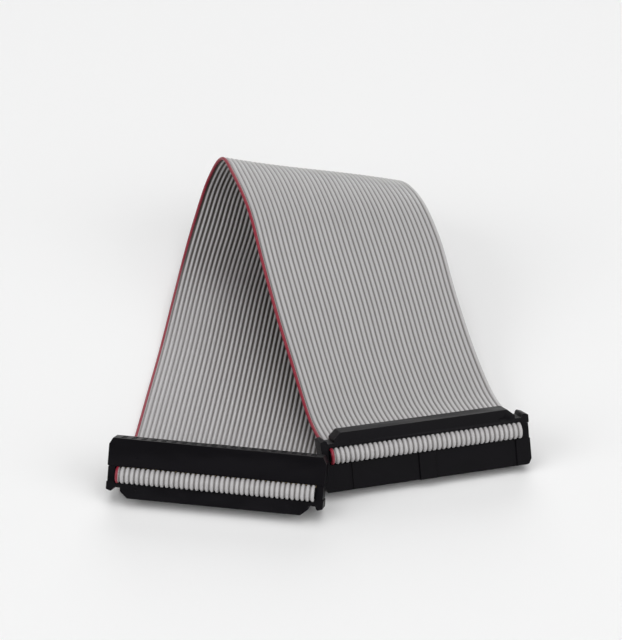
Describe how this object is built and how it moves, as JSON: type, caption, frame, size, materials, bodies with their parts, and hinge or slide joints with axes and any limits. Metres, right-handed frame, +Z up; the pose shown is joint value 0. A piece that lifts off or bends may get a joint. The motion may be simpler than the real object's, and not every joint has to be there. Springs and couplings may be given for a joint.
{
  "type": "ribbon cable",
  "caption": "Flat grey ribbon cable with a red edge wire and a black two-row socket on each end, folded back over itself.",
  "frame": {"origin": "on the floor, under the middle of the whole part's footprint", "axes": "+Z up; +X towards the lowered socket's side, from the red wire to the last wire; +Y away from the sockets, towards the fold"},
  "size_m": [0.1081, 0.1363, 0.032],
  "materials": {
    "cable": "satin",
    "plastic": "satin",
    "contact": "satin"
  },
  "bodies": {
    "root": {"ribbon": "cable", "left_socket_body": "plastic", "left_cover": "plastic", "left_strain_relief": "plastic", "left_contacts_odd": "contact", "left_contacts_even": "contact", "right_socket_body": "plastic", "right_cover": "plastic", "right_strain_relief": "plastic", "right_contacts_odd": "contact", "right_contacts_even": "contact"}
  },
  "joints": []
}
